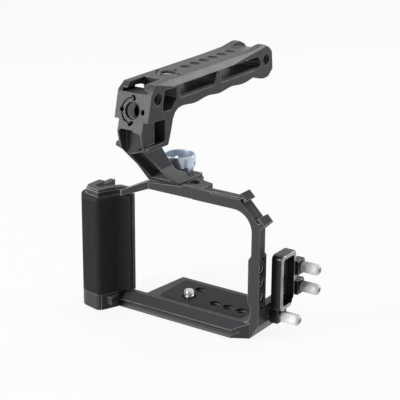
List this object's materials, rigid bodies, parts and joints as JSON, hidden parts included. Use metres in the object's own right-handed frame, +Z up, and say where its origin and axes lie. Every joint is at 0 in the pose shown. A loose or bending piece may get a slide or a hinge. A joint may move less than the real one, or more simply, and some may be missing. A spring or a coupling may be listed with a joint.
{
  "type": "camera cage",
  "caption": "Camera cage with a ribbed side grip, a top handle on a locating screw, a corner cold shoe, accessory threads and a plug clamp with thumbscrews.",
  "frame": {"origin": "mouth of the 1/4 in tripod thread under the base plate, on the lens axis", "axes": "+X towards the camera's left side, -Y towards the lens, +Z up"},
  "size_m": [0.1506, 0.1415, 0.1592],
  "materials": {
    "black_anodised": "fine bead-blasted black anodised",
    "silicone": "matte moulded silicone",
    "dark_steel": "black oxide",
    "bright_steel": "turned stainless",
    "black_plastic": "matte",
    "blue_anodised": "bead-blasted pale blue-silver anodised",
    "silver_anodised": "satin silver anodised, fluted"
  },
  "bodies": {
    "root": {"cage_frame": "black_anodised", "grip_frame": "black_anodised", "grip_cover": "silicone", "grip_lap_screws": "dark_steel", "grip_foot_screws": "dark_steel", "base_pad": "silicone", "handle_frame": "black_anodised", "handle_pins": "bright_steel", "clamp_body": "black_anodised", "clamp_pins": "dark_steel"},
    "camera_screw_carrier": {"camera_screw_washer": "black_plastic"},
    "camera_screw_body": {"camera_screw": "bright_steel"},
    "knob_carrier": {"knob_washer": "black_plastic"},
    "knob": {"knob_cup": "blue_anodised", "knob_screw": "bright_steel"},
    "upper_jaw": {"jaw_upper": "black_anodised"},
    "lower_jaw": {"jaw_lower": "black_anodised"},
    "upper_jaw_screw": {"jaw_screw_upper": "silver_anodised"},
    "lower_jaw_screw": {"jaw_screw_lower": "silver_anodised"},
    "clamp_screw_carrier": {"clamp_washer": "bright_steel"},
    "clamp_screw_body": {"clamp_screw": "silver_anodised"}
  },
  "joints": [
    {"name": "knob_rise", "type": "slide", "parent": "root", "child": "knob_carrier", "axis": [0, 0, 1], "range_m": [0, 0.00714]},
    {"name": "knob_turn", "type": "hinge", "parent": "knob_carrier", "child": "knob", "pos_m": [-0.0103, -0.0092, 0.095], "axis": [0, 0, 1], "range_deg": [0, 1621]},
    {"name": "camera_screw_drop", "type": "slide", "parent": "root", "child": "camera_screw_carrier", "axis": [0, 0, -1], "range_m": [0, 0.00317]},
    {"name": "camera_screw_turn", "type": "hinge", "parent": "camera_screw_carrier", "child": "camera_screw_body", "pos_m": [0, -0.013, 0.005], "axis": [0, 0, -1], "range_deg": [0, 901]},
    {"name": "upper_jaw_slide", "type": "slide", "parent": "root", "child": "upper_jaw", "axis": [1, 0, 0], "range_m": [0, 0.0028]},
    {"name": "upper_jaw_screw_turn", "type": "hinge", "parent": "upper_jaw", "child": "upper_jaw_screw", "pos_m": [0.075, 0.006, 0.0415], "axis": [1, 0, 0], "range_deg": [0, 1441]},
    {"name": "lower_jaw_slide", "type": "slide", "parent": "root", "child": "lower_jaw", "axis": [1, 0, 0], "range_m": [0, 0.0028]},
    {"name": "lower_jaw_screw_turn", "type": "hinge", "parent": "lower_jaw", "child": "lower_jaw_screw", "pos_m": [0.075, 0.006, 0.0285], "axis": [1, 0, 0], "range_deg": [0, 1441]},
    {"name": "clamp_screw_back_out", "type": "slide", "parent": "root", "child": "clamp_screw_carrier", "axis": [1, 0, 0], "range_m": [0, 0.0035]},
    {"name": "clamp_screw_turn", "type": "hinge", "parent": "clamp_screw_carrier", "child": "clamp_screw_body", "pos_m": [0.07, -0.008, 0.0118], "axis": [1, 0, 0], "range_deg": [0, 1801]}
  ],
  "couplings": [
    {"joint": "knob_turn", "follows": "knob_rise", "rad_per_m": 3957.9},
    {"joint": "camera_screw_turn", "follows": "camera_screw_drop", "rad_per_m": 4947.4},
    {"joint": "upper_jaw_screw_turn", "follows": "upper_jaw_slide", "rad_per_m": 8976},
    {"joint": "lower_jaw_screw_turn", "follows": "lower_jaw_slide", "rad_per_m": 8976},
    {"joint": "clamp_screw_turn", "follows": "clamp_screw_back_out", "rad_per_m": 8976}
  ]
}
